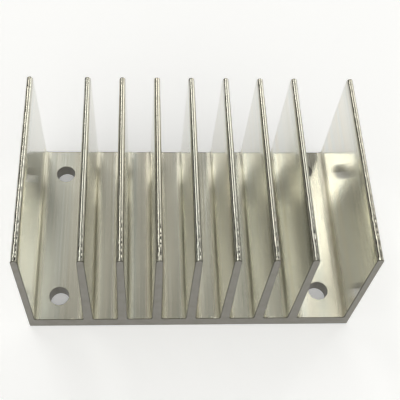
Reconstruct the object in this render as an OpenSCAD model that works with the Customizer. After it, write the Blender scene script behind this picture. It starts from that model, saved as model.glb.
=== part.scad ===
// Extruded heat sink: a flat base plate with upright plate fins, sawn to
// length, with a drilled hole near each end of the two wide outer bays.
//
// The origin is the middle of the base's underside. The fins stand side by
// side along X, run along Y and rise along +Z.

/* [Base] */
// Width of the base across the fins
base_width = 120.6; // [106:0.2:160]
// Length of the sawn piece, along the fins
body_length = 75; // [35:0.5:300]
// Thickness of the base plate
base_thickness = 6; // [3:0.1:12]
// Radius on the two long bottom edges of the base
base_edge_radius = 0.5; // [0.2:0.1:1.5]

/* [Fins] */
// Height from the base's underside to the fin tips
overall_height = 55; // [25:0.5:120]
// Number of evenly spaced fins between the two outer ones
inner_fins = 7; // [2:1:8]
// Distance from one inner fin to the next
fin_pitch = 12.7; // [7:0.1:15]
// Thickness of an inner fin at its rounded tip
fin_tip = 2.4; // [1:0.1:3.6]
// Thickness of an inner fin where it meets the base
fin_root = 3.6; // [2.4:0.1:6]
// Thickness of an outer fin at its rounded tip
outer_fin_tip = 2.4; // [1:0.1:2.5]
// Thickness of an outer fin where it meets the base
outer_fin_root = 2.5; // [2.4:0.1:6]
// Radius of the fillet in each corner between a fin and the base
root_fillet = 1; // [0.2:0.1:2]

/* [Mounting holes] */
// Diameter of the drilled holes
hole_diameter = 7.2; // [3:0.1:12]
// Mean distance from a hole's centre to the nearest sawn end
hole_end_inset = 10.4; // [6:0.1:30]
// Distance of the holes from the middle of their bay, towards the side
hole_outboard = 0.4; // [0:0.1:3]
// How much further back the right-hand pair of holes was drilled
pair_stagger = 1.5; // [0:0.1:6]

/* [Hidden] */

// Faces round an arc or a hole
arc_facets = 64;
// How far one shape runs into the next, so that they join
lap = 0.4;

side_x = base_width / 2;
fin_height = overall_height - base_thickness;

// Centre line of the outermost inner fin
last_inner_x = (inner_fins - 1) / 2 * fin_pitch;

// The two faces of a wide outer bay, at the base
bay_inner_x = last_inner_x + fin_root / 2;
bay_outer_x = side_x - outer_fin_root;

hole_x = (bay_inner_x + bay_outer_x) / 2 + hole_outboard;
hole_y = body_length / 2 - hole_end_inset;

// How far a flank that narrows by `taper` from root to tip leans from upright
function draft_angle(taper, tip) = atan(taper / (fin_height - tip / 2));

inner_draft = draft_angle((fin_root - fin_tip) / 2, fin_tip);
outer_draft = draft_angle(outer_fin_root - outer_fin_tip, outer_fin_tip);

// Section of the base plate, standing on the X axis
module base_section() {
    difference() {
        translate([-side_x, 0])
            square([base_width, base_thickness]);
        for (side = [0, 1])
            mirror([side, 0])
                translate([side_x, 0])
                    bottom_corner_waste();
    }
}

// What the edge radius takes off a bottom corner, with the corner at [0, 0]
module bottom_corner_waste() {
    difference() {
        translate([-base_edge_radius, -lap])
            square([base_edge_radius + lap, base_edge_radius + lap]);
        translate([-base_edge_radius, base_edge_radius])
            circle(r = base_edge_radius, $fn = arc_facets);
    }
}

// Section of a fin whose root spans root_x and whose tip spans tip_x, with
// a full round on the tip
module fin_section(root_x, tip_x) {
    tip_radius = (tip_x[1] - tip_x[0]) / 2;
    tip_centre = [(tip_x[0] + tip_x[1]) / 2, overall_height - tip_radius];
    polygon([
        [root_x[0], base_thickness - lap],
        [root_x[1], base_thickness - lap],
        [root_x[1], base_thickness],
        [tip_x[1], tip_centre.y],
        [tip_x[0], tip_centre.y],
        [root_x[0], base_thickness]
    ]);
    translate(tip_centre)
        circle(r = tip_radius, $fn = arc_facets);
}

// Section of the fillet between the base's top, along +X, and a flank that
// leans back by `draft` from the corner at [0, 0]
module fillet_section(draft) {
    reach = root_fillet / tan((90 + draft) / 2);
    flank_end = reach * [-sin(draft), cos(draft)];
    difference() {
        polygon([
            [-lap, -lap],
            [reach, -lap],
            [reach, root_fillet],
            flank_end,
            flank_end - [lap, 0]
        ]);
        translate([reach, root_fillet])
            circle(r = root_fillet, $fn = arc_facets);
    }
}

module inner_fin_section() {
    fin_section([-fin_root / 2, fin_root / 2], [-fin_tip / 2, fin_tip / 2]);
    for (side = [0, 1])
        mirror([side, 0])
            translate([fin_root / 2, base_thickness])
                fillet_section(inner_draft);
}

// The outer fin on the right: its outer face is flush with the base's side
module outer_fin_section() {
    fin_section([bay_outer_x, side_x], [side_x - outer_fin_tip, side_x]);
    translate([bay_outer_x, base_thickness])
        mirror([1, 0])
            fillet_section(outer_draft);
}

// The die's whole section, in the X-Z plane of the part
module extrusion_section() {
    base_section();
    for (i = [0 : inner_fins - 1])
        translate([i * fin_pitch - last_inner_x, 0])
            inner_fin_section();
    for (side = [0, 1])
        mirror([side, 0])
            outer_fin_section();
}

module mounting_holes() {
    for (side = [-1, 1])
        for (end = [-1, 1])
            translate([side * hole_x, end * hole_y + side * pair_stagger / 2, -lap])
                cylinder(h = base_thickness + 2 * lap, d = hole_diameter, $fn = arc_facets);
}

module heat_sink() {
    color([0.74, 0.74, 0.71])
        difference() {
            rotate([90, 0, 0])
                linear_extrude(height = body_length, center = true)
                    extrusion_section();
            mounting_holes();
        }
}

heat_sink();
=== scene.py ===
"""Extruded aluminium heat sink: the visual model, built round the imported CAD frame.

Lengths are in metres. X runs across the fins, Y along the extrusion, Z up, and
the origin is the middle of the base's underside, as in the CAD.
"""
from collections import namedtuple
from math import atan, cos, degrees, radians, sin, sqrt, tan

import bpy
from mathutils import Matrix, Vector, noise


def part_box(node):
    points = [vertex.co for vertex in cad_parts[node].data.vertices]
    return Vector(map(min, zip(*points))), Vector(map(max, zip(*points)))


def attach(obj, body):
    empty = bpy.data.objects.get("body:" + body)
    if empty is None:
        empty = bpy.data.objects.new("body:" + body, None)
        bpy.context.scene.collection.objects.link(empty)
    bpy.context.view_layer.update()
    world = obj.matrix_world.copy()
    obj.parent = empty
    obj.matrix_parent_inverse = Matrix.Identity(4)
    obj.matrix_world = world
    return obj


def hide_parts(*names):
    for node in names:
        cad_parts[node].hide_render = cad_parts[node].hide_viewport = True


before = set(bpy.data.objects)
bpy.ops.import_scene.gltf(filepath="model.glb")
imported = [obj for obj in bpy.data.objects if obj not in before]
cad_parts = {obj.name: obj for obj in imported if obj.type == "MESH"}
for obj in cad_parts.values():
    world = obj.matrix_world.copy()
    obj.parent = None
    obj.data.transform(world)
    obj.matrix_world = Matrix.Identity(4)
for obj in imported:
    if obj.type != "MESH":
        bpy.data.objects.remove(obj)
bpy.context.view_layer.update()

MM = 0.001

# Sizes of the section and the holes, as in part.scad
BASE_THICKNESS = 6 * MM
BASE_EDGE_RADIUS = 0.5 * MM
INNER_FINS = 7
FIN_PITCH = 12.7 * MM
FIN_TIP = 2.4 * MM
FIN_ROOT = 3.6 * MM
OUTER_FIN_TIP = 2.4 * MM
OUTER_FIN_ROOT = 2.5 * MM
ROOT_FILLET = 1 * MM
HOLE_RADIUS = 3.6 * MM
HOLE_END_INSET = 10.4 * MM
HOLE_OUTBOARD = 0.4 * MM
PAIR_STAGGER = 1.5 * MM

# The outline's reach comes from the frame: the high corner of the CAD's box,
# which is centred in X and Y
SIDE_X, END_Y, TOP_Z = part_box("heat_sink")[1]

# Centre line of the outermost inner fin, and the walls of a wide outer bay
LAST_INNER_X = (INNER_FINS - 1) / 2 * FIN_PITCH
BAY_INNER_X = LAST_INNER_X + FIN_ROOT / 2
BAY_OUTER_X = SIDE_X - OUTER_FIN_ROOT

# Spans of the outline: numbers of them, or about how long each is
TIP_SPANS = 12
FILLET_SPANS = 6
CORNER_SPANS = 4
FLANK_SPANS = 7
BAY_SPAN = 0.8 * MM
UNDERSIDE_SPAN = 5 * MM

# Steps along Y: fine within a zone at each sawn end, where the nicks are. The
# last one is cut short, but not below SHORTEST_STEP.
FINE_STEP = 0.35 * MM
COARSE_STEP = 0.9 * MM
SHORTEST_STEP = 0.9 * FINE_STEP
FRONT_ZONE = 19 * MM
BACK_ZONE = 9 * MM

# How far the sawn edges are broken, across the section and along Y
EDGE_BREAK = 0.2 * MM
EDGE_RUN = 0.26 * MM

# Facets of a drilled hole, and how far its top rim is eased
HOLE_FACETS = 72
RIM_EASE = 0.12 * MM

# Edges of the mesh that turn by more than this stay sharp, in degrees
SHARP_ANGLE = 28

# Places of the materials in the mesh's list
SKIN, SAWN, BORE, TIP = range(4)


# ---------------------------------------------------------------- section

def arc(centre, radius, start, stop, spans):
    """Points of an arc from start to stop degrees, both ends included"""
    angles = [radians(start + (stop - start) * k / spans) for k in range(spans + 1)]
    return [(centre[0] + radius * cos(a), centre[1] + radius * sin(a)) for a in angles]


def line(a, b, spans):
    """Points between a and b, without either end"""
    return [(a[0] + (b[0] - a[0]) * k / spans, a[1] + (b[1] - a[1]) * k / spans)
            for k in range(1, spans)]


def distance(a, b):
    return sqrt((b[0] - a[0]) ** 2 + (b[1] - a[1]) ** 2)


def root_fillet(corner_x, side, draft):
    """A root fillet, from the base up to the flank. side is +1 where the fin
    stands to the left of the corner and the bay to its right."""
    reach = ROOT_FILLET / tan(radians(90 + draft) / 2)
    points = arc((reach, ROOT_FILLET), ROOT_FILLET, 270, 180 + draft, FILLET_SPANS)
    return [(corner_x + side * x, BASE_THICKNESS + z) for x, z in points]


def fin_outline(root, tip, drafts, fillets):
    """Outline of one fin, from the base on its right, over the tip, to the
    base on its left. Each argument is a pair, left then right. A flank without
    a fillet is the part's own side, and runs down to the bottom edge."""
    radius = (tip[1] - tip[0]) / 2
    centre = ((tip[0] + tip[1]) / 2, TOP_Z - radius)
    right = root_fillet(root[1], 1, drafts[1]) if fillets[1] else [(root[1], BASE_EDGE_RADIUS)]
    left = root_fillet(root[0], -1, drafts[0]) if fillets[0] else [(root[0], BASE_EDGE_RADIUS)]
    round_tip = arc(centre, radius, 0, 180, TIP_SPANS)
    points = right + line(right[-1], round_tip[0], FLANK_SPANS) + round_tip
    return points + line(round_tip[-1], left[-1], FLANK_SPANS) + left[::-1]


def fin_outlines():
    """Outlines of all the fins, from right to left"""
    flank = TOP_Z - BASE_THICKNESS - FIN_TIP / 2
    inner_draft = degrees(atan((FIN_ROOT - FIN_TIP) / 2 / flank))
    outer_draft = degrees(atan((OUTER_FIN_ROOT - OUTER_FIN_TIP) / flank))
    fins = [fin_outline(root=(BAY_OUTER_X, SIDE_X), tip=(SIDE_X - OUTER_FIN_TIP, SIDE_X),
                        drafts=(outer_draft, 0), fillets=(True, False))]
    for i in reversed(range(INNER_FINS)):
        x = i * FIN_PITCH - LAST_INNER_X
        fins.append(fin_outline(root=(x - FIN_ROOT / 2, x + FIN_ROOT / 2),
                                tip=(x - FIN_TIP / 2, x + FIN_TIP / 2),
                                drafts=(inner_draft, inner_draft), fillets=(True, True)))
    fins.append(fin_outline(root=(-SIDE_X, -BAY_OUTER_X), tip=(-SIDE_X, OUTER_FIN_TIP - SIDE_X),
                            drafts=(0, outer_draft), fillets=(False, True)))
    return fins


def section_outline():
    """The whole section as (x, z), anticlockwise from the bottom right corner"""
    r = BASE_EDGE_RADIUS
    outline = arc((SIDE_X - r, r), r, -90, 0, CORNER_SPANS)[:-1]
    for n, fin in enumerate(fin_outlines()):
        if n:
            bay = distance(outline[-1], fin[0])
            outline += line(outline[-1], fin[0], round(bay / BAY_SPAN))
        outline += fin
    outline += arc((r - SIDE_X, r), r, 180, 270, CORNER_SPANS)[1:]
    return outline + line(outline[-1], outline[0], round(2 * SIDE_X / UNDERSIDE_SPAN))


def outward_normals(outline):
    """Unit normals of the outline, pointing out of the metal"""
    normals = []
    for k in range(len(outline)):
        before, after = outline[k - 1], outline[(k + 1) % len(outline)]
        length = distance(before, after)
        normals.append(((after[1] - before[1]) / length, (before[0] - after[0]) / length))
    return normals


def stations():
    """Places along Y where the section is repeated. The first two and the
    last two are a sawn end and the far side of its broken edge."""
    places = [-END_Y]
    while places[-1] < END_Y - SHORTEST_STEP:
        y = places[-1]
        near_end = y < FRONT_ZONE - END_Y or y > END_Y - BACK_ZONE
        places.append(min(y + (FINE_STEP if near_end else COARSE_STEP), END_Y))
    return [-END_Y, EDGE_RUN - END_Y] + places[1:-1] + [END_Y - EDGE_RUN, END_Y]


# ---------------------------------------------------------------- wear

# Each pair of lengths, here and under "mesh", says where something is gone and
# where it is full. The tips' wear grows with height and fades away from each
# sawn end. How far it runs wanders, each way by half of the last two lengths.
TIP_WEAR_Z = (TOP_Z - 1.5 * MM, TOP_Z - 0.6 * MM)
FRONT_WEAR_RUN = (24 * MM, 5 * MM)
BACK_WEAR_RUN = (9 * MM, 2 * MM)
FRONT_WANDER = 12 * MM
BACK_WANDER = 6 * MM

# How battered the tips are at the back end and between the ends, where the
# front end is 1, and how much more or less between the ends from place to place
BACK_WEAR = 0.8
OUTER_FIN_WEAR = 0.55
INNER_FIN_WEAR = 0.18
PATCHINESS = 1.2

# Depths of the two kinds of dent in a wholly battered tip, and what is added to
# the noise of the small ones so that they cover more than half of it
SMALL_NICK = 0.11 * MM
BROAD_DENT = 0.1 * MM
SMALL_NICK_LIFT = 0.1

# How raggedly a sawn edge is broken, as a share of its depth, and how many
# cells of noise there are from one point of the outline to the next
RAGGEDNESS = 0.45
RAGGED_CELLS = 0.37

# Nicks in the sawn edges of the base's top: place along X in mm, end (-1 is
# the front) and radius in mm
EDGE_NICKS = [(-44, -1, 0.45), (-37.6, -1, 0.4), (-25.5, -1, 0.55), (-14.2, -1, 0.5), (-5.6, -1, 0.4),
              (3.2, -1, 0.45), (9.2, -1, 0.7), (15.9, -1, 0.4), (30.5, -1, 0.35), (47, -1, 0.4),
              (-50, 1, 0.5), (-21, 1, 0.5), (12, 1, 0.45), (33, 1, 0.6)]

# An edge nick's depth and the reach of its deepest part, as shares of its
# radius, and how far from the base's top and from the end nicks are looked for
EDGE_NICK_DEPTH = 0.6
EDGE_NICK_CORE = 0.3
EDGE_NICK_Z = 0.3 * MM
EDGE_NICK_Y = 1.5 * MM


def fade(gone, full, value):
    """0 at gone, 1 at full, eased between, whichever of them is the larger"""
    t = min(max((value - gone) / (full - gone), 0), 1)
    return t * t * (3 - 2 * t)


def rough(x, y, z, across, along, seed=0):
    """Noise, from -1 to 1, with so many cells a metre across and along the fins"""
    return noise.noise(Vector((x * across, y * along, z * across + seed)))


def tip_wear(x, y, z):
    """How battered the metal is, 0 to 1: the fin tips, most of all near the
    two sawn ends, and the outer fins along their whole length"""
    on_tip = fade(*TIP_WEAR_Z, z)
    if on_tip == 0:
        return 0
    wander = 0.5 * rough(x, y, 0, across=90, along=110, seed=3.1)
    front = fade(*FRONT_WEAR_RUN, y + END_Y + wander * FRONT_WANDER)
    back = fade(*BACK_WEAR_RUN, END_Y - y + wander * BACK_WANDER)
    on_outer_fin = abs(x) > LAST_INNER_X + FIN_PITCH / 2
    between = (OUTER_FIN_WEAR if on_outer_fin else INNER_FIN_WEAR) * (1 + PATCHINESS * wander)
    return on_tip * max(front, BACK_WEAR * back, between)


def nick(x, y, z):
    """Depth of the dents at a point of a wholly battered tip"""
    small = rough(x, y, z, across=900, along=900)
    broad = rough(x, y, z, across=350, along=420, seed=7)
    return SMALL_NICK * max(0, small + SMALL_NICK_LIFT) + BROAD_DENT * max(0, broad)


def edge_nick(x, y, z):
    """How deep a nick cuts into the base's top edge at a point"""
    from_end = END_Y - abs(y)
    if abs(z - BASE_THICKNESS) > EDGE_NICK_Z or from_end > EDGE_NICK_Y:
        return 0
    depth = 0
    for nick_x, end, radius in EDGE_NICKS:
        if end * y > 0:
            away = distance((x, from_end), (nick_x * MM, 0)) / (radius * MM)
            depth = max(depth, fade(1, EDGE_NICK_CORE, away) * EDGE_NICK_DEPTH * radius * MM)
    return depth


def edge_ease(k, end):
    """How far the sawn edge is broken at outline point k. end is -1 or 1, and
    picks another stretch of the noise."""
    ragged = noise.noise(Vector((k * RAGGED_CELLS, end * 5, 0.5)))
    return EDGE_BREAK * (1 + RAGGEDNESS * ragged)


# ---------------------------------------------------------------- mesh

# The painted shade along the shoulders of a tip, a dark line: its height, and
# how it fades with the distance from there and from the part's side
SHOULDER_Z = TOP_Z - FIN_TIP / 2 - 0.1 * MM
SHOULDER_FADE = (0.55 * MM, 0.15 * MM)
SIDE_FADE = (0.1 * MM, 0.3 * MM)

# It is full at the front end, and fades to a share of that further back
SHOULDER_SHARE = 0.3
SHOULDER_RUN = (13 * MM, 4 * MM)

# The warm line along the fin roots: its height, and how it fades with the
# distance from there and from the root corner
ROOT_LINE_Z = BASE_THICKNESS + 0.3 * MM
ROOT_FADE_Z = (1.6 * MM, 0.5 * MM)
ROOT_FADE_X = (2.2 * MM, 1.2 * MM)


def worn_points(outline, places):
    """The section repeated at every place, worn and nicked: the points, and
    how battered each of them is. Wear only cuts inwards."""
    normals = outward_normals(outline)
    ends = {0: -1, len(places) - 1: 1}
    points, wear = [], []
    for j, y in enumerate(places):
        for k, (x, z) in enumerate(outline):
            battered = tip_wear(x, y, z)
            depth = battered * nick(x, y, z) + edge_nick(x, y, z)
            if j in ends:
                depth += edge_ease(k, ends[j])
            nx, nz = normals[k]
            points.append((x - nx * depth, y, z - nz * depth))
            wear.append(battered)
    return points, wear


def skin_faces(count, last):
    """Quads between each section of count points and the next, then the two
    sawn ends. last is the number of the section at the back."""
    faces = []
    for j in range(last):
        for k in range(count):
            a, b = j * count + k, j * count + (k + 1) % count
            faces.append((a, a + count, b + count, b))
    faces.append(list(range(count)))
    faces.append([last * count + k for k in reversed(range(count))])
    return faces


def map_grain(mesh, outline, places):
    """A layer whose U runs along the extrusion and V round the section, which
    gives the metal its grain. On the sawn ends it is X and Z. Its directions
    count, and its scale doesn't."""
    scale = 10
    count = len(outline)
    girth = [0]
    for a, b in zip(outline, outline[1:] + outline[:1]):
        girth.append(girth[-1] + distance(a, b))
    along = mesh.uv_layers.new(name="along_grain")
    end_faces = (len(places) - 1) * count
    for face in mesh.polygons:
        for corner in face.loop_indices:
            vertex = mesh.loops[corner].vertex_index
            if face.index >= end_faces:
                point = mesh.vertices[vertex].co
                along.data[corner].uv = (point.x * scale, point.z * scale)
                continue
            j, k = divmod(vertex, count)
            closes_girth = k == 0 and face.index % count == count - 1
            along.data[corner].uv = (places[j] * scale, girth[count if closes_girth else k] * scale)


def edge_shade_layer(outline, places):
    """Painted shade: 1 on the sawn edges, and up to 1 along the shoulders of the tips"""
    last = len(places) - 1
    shoulder = [fade(*SHOULDER_FADE, abs(z - SHOULDER_Z)) * fade(*SIDE_FADE, SIDE_X - abs(x))
                for x, z in outline]
    values = []
    for j, y in enumerate(places):
        if j in (0, 1, last - 1, last):
            values += [1] * len(outline)
        else:
            share = SHOULDER_SHARE + (1 - SHOULDER_SHARE) * fade(*SHOULDER_RUN, y + END_Y)
            values += [value * share for value in shoulder]
    return values


def root_distance(x):
    """How far x is from the nearest root corner"""
    corners = [abs(abs(x) - BAY_OUTER_X)]
    for i in range(INNER_FINS):
        corners.append(abs(abs(x - i * FIN_PITCH + LAST_INNER_X) - FIN_ROOT / 2))
    return min(corners)


def root_layer(outline, places):
    """1 along the fin roots"""
    section = [fade(*ROOT_FADE_Z, abs(z - ROOT_LINE_Z)) * fade(*ROOT_FADE_X, root_distance(x))
               for x, z in outline]
    return section * len(places)


def extrusion_mesh(name):
    outline = section_outline()
    places = stations()
    points, wear = worn_points(outline, places)
    mesh = bpy.data.meshes.new(name)
    mesh.from_pydata(points, [], skin_faces(len(outline), len(places) - 1))
    map_grain(mesh, outline, places)
    layers = {"wear": wear, "edge": edge_shade_layer(outline, places), "root": root_layer(outline, places)}
    for layer, values in layers.items():
        mesh.attributes.new(layer, "FLOAT", "POINT").data.foreach_set("value", values)
    return mesh


def hole_centres():
    x = (BAY_INNER_X + BAY_OUTER_X) / 2 + HOLE_OUTBOARD
    y = END_Y - HOLE_END_INSET
    return [(side * x, end * y + side * PAIR_STAGGER / 2) for side in (-1, 1) for end in (-1, 1)]


def drill_mesh(name):
    """Cutters for the four holes, which stand past both faces. The top rim is
    eased, and the lower one a little less."""
    past = 1 * MM
    hair = 0.001 * MM
    lower_ease = 0.6 * RIM_EASE
    profile = [(lower_ease, -past), (lower_ease, -hair), (0, RIM_EASE), (0, BASE_THICKNESS - RIM_EASE),
               (RIM_EASE, BASE_THICKNESS + hair), (RIM_EASE, BASE_THICKNESS + past)]
    verts, faces = [], []
    for centre in hole_centres():
        first = len(verts)
        for ease, z in profile:
            ring = arc(centre, HOLE_RADIUS + ease, 0, 360, HOLE_FACETS)[:-1]
            verts += [(x, y, z) for x, y in ring]
        top = len(verts) - HOLE_FACETS
        for start in range(first, top, HOLE_FACETS):
            for k in range(HOLE_FACETS):
                a, b = start + k, start + (k + 1) % HOLE_FACETS
                faces.append((a, b, b + HOLE_FACETS, a + HOLE_FACETS))
        faces.append([first + k for k in reversed(range(HOLE_FACETS))])
        faces.append([top + k for k in range(HOLE_FACETS)])
    mesh = bpy.data.meshes.new(name)
    mesh.from_pydata(verts, [], faces)
    return mesh


def link(name, data):
    obj = bpy.data.objects.new(name, data)
    bpy.context.scene.collection.objects.link(obj)
    return obj


def assign_materials(mesh, materials):
    """materials are in the order of SKIN, SAWN, BORE and TIP. The bores' one
    takes in their eased rims, and the sawn ends' one their broken edges."""
    for material in materials:
        mesh.materials.append(material)
    centres = hole_centres()
    bore_reach = HOLE_RADIUS + 1.25 * RIM_EASE
    sawn_reach = 0.8 * EDGE_RUN
    for face in mesh.polygons:
        x, y, z = face.center
        if any(distance((x, y), centre) < bore_reach for centre in centres):
            face.material_index = BORE
        elif END_Y - abs(y) < sawn_reach:
            face.material_index = SAWN
        else:
            face.material_index = TIP if z > TOP_Z - FIN_TIP / 2 else SKIN
        face.use_smooth = True


def build_extrusion(materials):
    body = link("extrusion", extrusion_mesh("extrusion"))
    drills = link("drills", drill_mesh("drills"))
    cut = body.modifiers.new("holes", "BOOLEAN")
    cut.operation = "DIFFERENCE"
    cut.solver = "EXACT"
    cut.object = drills
    graph = bpy.context.evaluated_depsgraph_get()
    drilled = bpy.data.meshes.new_from_object(body.evaluated_get(graph))
    body.modifiers.clear()
    body.data = drilled
    bpy.data.objects.remove(drills)
    drilled.materials.clear()
    assign_materials(drilled, materials)
    drilled.set_sharp_from_angle(angle=radians(SHARP_ANGLE))
    return body


# ---------------------------------------------------------------- materials

# Aluminium as it leaves the die: the darkest and palest tone of its fine
# lines, where it looks cool and where it looks warm, and its dull blotches
COOL_TONES = ((0.775, 0.80, 0.75), (0.955, 0.96, 0.92))
WARM_TONES = ((0.81, 0.78, 0.685), (0.965, 0.945, 0.865))
DULL_TONE = (0.82, 0.805, 0.74)

# The line along the fin roots, and the painted shade on the sawn edges and the tips' shoulders
ROOT_TONE = (0.93, 0.89, 0.77)
EDGE_SHADE_TONE = (0.24, 0.235, 0.18)

# The sawn ends: the darkest and palest tone of the marks, the patches, and the painted shade of the
# rim
SAWN_TONES = ((0.245, 0.235, 0.215), (0.295, 0.285, 0.26))
SAWN_PATCH_TONE = (0.21, 0.2, 0.17)
SAWN_RIM_SHADE_TONE = (0.08, 0.078, 0.06)

# The bores: the darkest and palest tone of the rings
BORE_TONES = ((0.2, 0.19, 0.165), (0.3, 0.29, 0.26))


class Nodes:
    """Short calls for building a material's node tree"""

    def __init__(self, tree):
        self.tree = tree

    def add(self, kind, inputs=(), **settings):
        node = self.tree.nodes.new(kind)
        for key, value in settings.items():
            setattr(node, key, value)
        self.fill(node, dict(inputs))
        return node

    def fill(self, node, inputs):
        """Link or set a node's inputs"""
        for key, value in inputs.items():
            if isinstance(value, bpy.types.NodeSocket):
                self.tree.links.new(value, node.inputs[key])
            else:
                node.inputs[key].default_value = value

    def noise(self, scale, seed, detail=3.0, roughness=0.5):
        """Noise with so many cells a metre along each axis of the object"""
        where = self.add("ShaderNodeTexCoord").outputs["Object"]
        vector = self.add("ShaderNodeMapping", {"Vector": where, "Scale": scale,
                                                "Location": (seed, seed, seed)}).outputs[0]
        return self.add("ShaderNodeTexNoise", {"Vector": vector, "Scale": 1.0, "Detail": detail,
                                               "Roughness": roughness}).outputs["Fac"]

    def grain(self, across, along, seed, detail=3.0, roughness=0.5):
        """Noise with so many cells a metre across and along the extrusion"""
        return self.noise((across, along, across), seed, detail, roughness)

    def attribute(self, name):
        return self.add("ShaderNodeAttribute", attribute_name=name).outputs["Fac"]

    def end_distance(self):
        """How far a point is from the plane of the nearer sawn end"""
        where = self.add("ShaderNodeTexCoord").outputs["Object"]
        y = self.add("ShaderNodeSeparateXYZ", {0: where}).outputs["Y"]
        return self.math("SUBTRACT", END_Y, self.math("ABSOLUTE", y, 0))

    def ramp(self, value, low, high, out_low=0.0, out_high=1.0):
        """out_low at low, out_high at high, eased between"""
        return self.add("ShaderNodeMapRange",
                        {"Value": value, "From Min": low, "From Max": high,
                         "To Min": out_low, "To Max": out_high},
                        interpolation_type="SMOOTHSTEP").outputs[0]

    def math(self, operation, a, b):
        return self.add("ShaderNodeMath", {0: a, 1: b}, operation=operation).outputs[0]

    def times(self, value, share):
        return self.math("MULTIPLY", value, share)

    def mix(self, factor, a, b):
        """Colour a at factor 0 and b at 1"""
        sockets = {key: value if isinstance(value, bpy.types.NodeSocket) else (*value, 1)
                   for key, value in ((6, a), (7, b))}
        return self.add("ShaderNodeMix", {"Factor": factor, **sockets}, data_type="RGBA").outputs[2]

    def bump(self, height, strength, distance, normal=None):
        inputs = {"Height": height, "Strength": strength, "Distance": distance}
        if normal is not None:
            inputs["Normal"] = normal
        return self.add("ShaderNodeBump", inputs).outputs[0]


def new_material(name):
    material = bpy.data.materials.new(name)
    material.use_nodes = True
    return material, Nodes(material.node_tree), material.node_tree.nodes["Principled BSDF"]


def shaded(colour, shade):
    return tuple(channel * shade for channel in colour)


def mill_tone(n, hairlines):
    """How pale the metal is, mostly between 0 and 1: streaks, broad bands and
    hairlines, each with its share"""
    streaks = n.grain(520, 2.5, seed=1.0, detail=4.0, roughness=0.6)
    bands = n.grain(130, 1.0, seed=5.0, detail=2.0)
    tone = n.math("ADD", n.times(n.ramp(streaks, 0.32, 0.68), share=0.35),
                  n.times(n.ramp(bands, 0.3, 0.7), share=0.2))
    return n.math("ADD", tone, n.times(n.ramp(hairlines, 0.36, 0.64), share=0.55))


def mill_colour(n, hairlines, shade):
    """Fine lines, cool in one stretch and warm in the next, with dull blotches"""
    tone = mill_tone(n, hairlines)
    tints = n.grain(210, 3, seed=21.0)
    blotches = n.grain(60, 38, seed=9.0)
    cool = n.mix(tone, *[shaded(colour, shade) for colour in COOL_TONES])
    warm = n.mix(tone, *[shaded(colour, shade) for colour in WARM_TONES])
    colour = n.mix(n.ramp(tints, 0.35, 0.65), cool, warm)
    dull = n.times(n.ramp(blotches, 0.45, 0.8), share=0.45)
    return n.mix(dull, colour, shaded(DULL_TONE, shade))


def mill_finish(name, anisotropic, roughness, pitting, shade):
    """Aluminium as it leaves the die: fine lines along the extrusion, so that
    reflections blur across them. pitting is the strength of the pits where the
    metal is wholly battered, and shade darkens its tones."""
    material, n, shader = new_material(name)
    hairlines = n.grain(1500, 3, seed=17.0, roughness=0.65)
    die_lines = n.grain(2600, 2, seed=3.0, roughness=0.6)
    pits = n.grain(900, 500, seed=13.0, detail=2.0)
    root = n.attribute("root")
    colour = n.mix(n.times(root, share=0.5), mill_colour(n, hairlines, shade), ROOT_TONE)
    lined = n.ramp(hairlines, 0.25, 0.75, out_low=roughness - 0.02, out_high=roughness + 0.02)
    lines = n.bump(die_lines, strength=0.08, distance=0.04 * MM)
    pit_strength = n.ramp(n.attribute("wear"), 0, 1, out_low=0.015, out_high=pitting)
    tangent = n.add("ShaderNodeTangent", direction_type="UV_MAP", uv_map="along_grain")
    n.fill(shader, {
        # Painted shade: the edge layer darkens the sawn edges and the tips' shoulders
        "Base Color": n.mix(n.times(n.attribute("edge"), share=0.7), colour, EDGE_SHADE_TONE),
        "Metallic": 0.9,
        "Roughness": n.math("ADD", lined, n.times(root, share=0.25)),
        "Anisotropic": anisotropic,
        "Anisotropic Rotation": 0.25,
        "Tangent": tangent.outputs[0],
        "Normal": n.bump(pits, pit_strength, distance=0.2 * MM, normal=lines),
    })
    return material


def sawn_finish():
    """The sawn ends: dull, with faint saw marks, and a dark rim of painted shade
    where the edge is broken"""
    material, n, shader = new_material("sawn_end")
    marks = n.noise((60, 60, 2200), seed=2.0, roughness=0.7)
    patches = n.noise((240, 240, 240), seed=4.0)
    colour = n.mix(n.ramp(marks, 0.3, 0.7), *SAWN_TONES)
    colour = n.mix(n.times(n.ramp(patches, 0.4, 0.75), share=0.5), colour, SAWN_PATCH_TONE)
    rim_shade = n.ramp(n.end_distance(), 0.02 * MM, 0.1 * MM)
    n.fill(shader, {
        # Painted shade: the broken edge, off the end's plane, darkens to the rim tone
        "Base Color": n.mix(n.times(rim_shade, share=0.9), colour, SAWN_RIM_SHADE_TONE),
        "Metallic": 0.85,
        "Roughness": n.ramp(marks, 0.3, 0.7, out_low=0.5, out_high=0.62),
        "Normal": n.bump(marks, strength=0.5, distance=0.08 * MM),
    })
    return material


def bore_finish():
    """The drilled bores: rings left by the drill"""
    material, n, shader = new_material("drilled_bore")
    rings = n.noise((60, 60, 2600), seed=6.0, roughness=0.6)
    n.fill(shader, {
        "Base Color": n.mix(n.ramp(rings, 0.3, 0.7), *BORE_TONES),
        "Metallic": 1.0,
        "Roughness": n.ramp(rings, 0.3, 0.7, out_low=0.32, out_high=0.45),
        "Normal": n.bump(rings, strength=0.6, distance=0.06 * MM),
    })
    return material


# ---------------------------------------------------------------- studio

# The ground: a wide disc, a hair below the part. FLOOR_LIFT is the light it
# adds for the rays that show it.
FLOOR_COLOUR = (0.915, 0.925, 0.99)
FLOOR_LIFT = 0.3
FLOOR_RADIUS = 10
FLOOR_FACETS = 96
FLOOR_DROP = 0.05 * MM

# The sky is a plain level with soft patches on it. A patch's place and half
# sizes are in degrees, and one with a minus is a patch of shade. These numbers
# come from a least-squares fit of the light to the photograph, made by a
# separate program. Some were then changed, mostly the strengths.
WORLD_COLOUR = (1.0, 0.985, 0.89)
WORLD_LEVEL = 0.9

Patch = namedtuple("Patch", "azimuth elevation half_width half_height strength")

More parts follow.
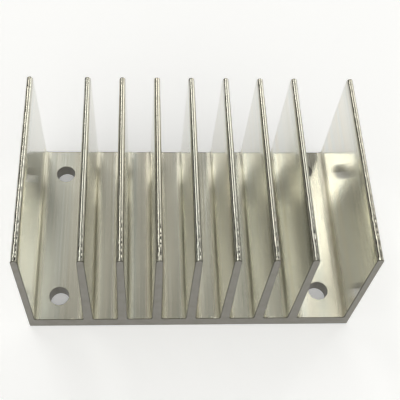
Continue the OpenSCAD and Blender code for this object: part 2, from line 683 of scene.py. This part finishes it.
WORLD_PATCHES = [
    # Three lamps behind on the left, for the bright back ends of the bays
    Patch(-28, 45, 7, 12, 6.0),
    Patch(-39, 54, 9, 7, 6.8),
    Patch(-48, 65, 6, 11, 6.2),
    # A weak one behind on the right
    Patch(26, 64, 10, 7, 1.5),
    # A low and wide one in front, for the sawn ends
    Patch(186, 7, 89, 17, 1.0),
    # Shade on the right, with a lamp in it
    Patch(57, 46, 28, 38, -2.4),
    Patch(47, 36, 13, 24, 3.8),
    # Shade on the left
    Patch(-54, 32, 31, 40, -2.4),
    # A dim ceiling behind, which makes the base grey, and a lighter place in it
    Patch(3, 71, 80, 44, -0.74),
    Patch(-21, 61, 12, 12, 0.35),
]

# The photograph's viewpoint, from a fit to the object's edges. The angles are
# in degrees, and the shift is a share of the picture's width.
SENSOR_WIDTH_MM = 36
LENS_MM = 70.686
CAMERA_SHIFT = 0.05
CAMERA_PLACE = (-0.01921, -0.14750, 0.28067)
CAMERA_ANGLES = (30.482, -2.562, -1.501)


def shown_directly(n):
    """1 for the rays that show the ground itself: the camera's, and those
    that metal and glass reflect or pass"""
    path = n.add("ShaderNodeLightPath").outputs
    seen = n.math("MAXIMUM", path["Is Camera Ray"], path["Is Glossy Ray"])
    return n.math("MAXIMUM", seen, path["Is Transmission Ray"])


def floor_material():
    """A plain pale ground, which shows nearly white where no shadow falls"""
    material, n, shader = new_material("ground")
    n.fill(shader, {
        "Base Color": (*FLOOR_COLOUR, 1),
        "Roughness": 1.0,
        "Specular IOR Level": 0.0,
        "Emission Color": (1, 1, 1, 1),
        "Emission Strength": n.times(shown_directly(n), share=FLOOR_LIFT),
    })
    return material


def build_floor():
    rim = arc((0, 0), FLOOR_RADIUS, 0, 360, FLOOR_FACETS)[:-1]
    mesh = bpy.data.meshes.new("ground")
    mesh.from_pydata([(x, y, 0) for x, y in rim], [], [list(range(FLOOR_FACETS))])
    mesh.materials.append(floor_material())
    ground = link("ground", mesh)
    ground.location.z = -FLOOR_DROP


def direction(azimuth, elevation):
    """Unit vector: azimuth 0 is behind the object, 90 to its right"""
    a, e = radians(azimuth), radians(elevation)
    return Vector((sin(a) * cos(e), cos(a) * cos(e), sin(e)))


def light_patch(n, where, patch):
    """A soft-edged patch of the sky, strongest in its middle. where is the
    direction looked in."""
    def along(axis):
        return n.add("ShaderNodeVectorMath", {0: where, 1: axis},
                     operation="DOT_PRODUCT").outputs["Value"]

    across = along(direction(patch.azimuth + 90, 0) / sin(radians(patch.half_width)))
    upward = along(direction(patch.azimuth, patch.elevation + 90) / sin(radians(patch.half_height)))
    facing = n.math("GREATER_THAN", along(direction(patch.azimuth, patch.elevation)), 0)
    offset = n.add("ShaderNodeCombineXYZ", {0: across, 1: upward}).outputs[0]
    away = n.add("ShaderNodeVectorMath", {0: offset}, operation="LENGTH").outputs["Value"]
    glow = n.ramp(away, 0, 1, out_low=patch.strength, out_high=0)
    return n.math("MULTIPLY", glow, facing)


def build_world():
    world = bpy.data.worlds.new("studio")
    bpy.context.scene.world = world
    world.use_nodes = True
    n = Nodes(world.node_tree)
    where = n.add("ShaderNodeTexCoord").outputs["Generated"]
    level = WORLD_LEVEL
    for patch in WORLD_PATCHES:
        level = n.math("ADD", level, light_patch(n, where, patch))
    n.fill(world.node_tree.nodes["Background"], {
        "Color": (*WORLD_COLOUR, 1),
        "Strength": n.math("MAXIMUM", level, 0),
    })


def build_camera():
    camera = bpy.data.cameras.new("camera")
    camera.sensor_width = SENSOR_WIDTH_MM
    camera.lens = LENS_MM
    camera.shift_x = CAMERA_SHIFT
    camera.clip_start = 0.01
    camera.clip_end = 20
    obj = link("camera", camera)
    obj.location = CAMERA_PLACE
    obj.rotation_euler = [radians(angle) for angle in CAMERA_ANGLES]
    bpy.context.scene.camera = obj


build_camera()
build_world()
build_floor()
heat_sink = build_extrusion([
    mill_finish("mill_finish", anisotropic=0.9, roughness=0.145, pitting=0.2, shade=1.0),
    sawn_finish(),
    bore_finish(),
    mill_finish("fin_tip", anisotropic=0.6, roughness=0.17, pitting=0.6, shade=0.67),
])
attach(heat_sink, "root")
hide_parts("heat_sink")

bpy.context.scene.view_settings.view_transform = "Standard"
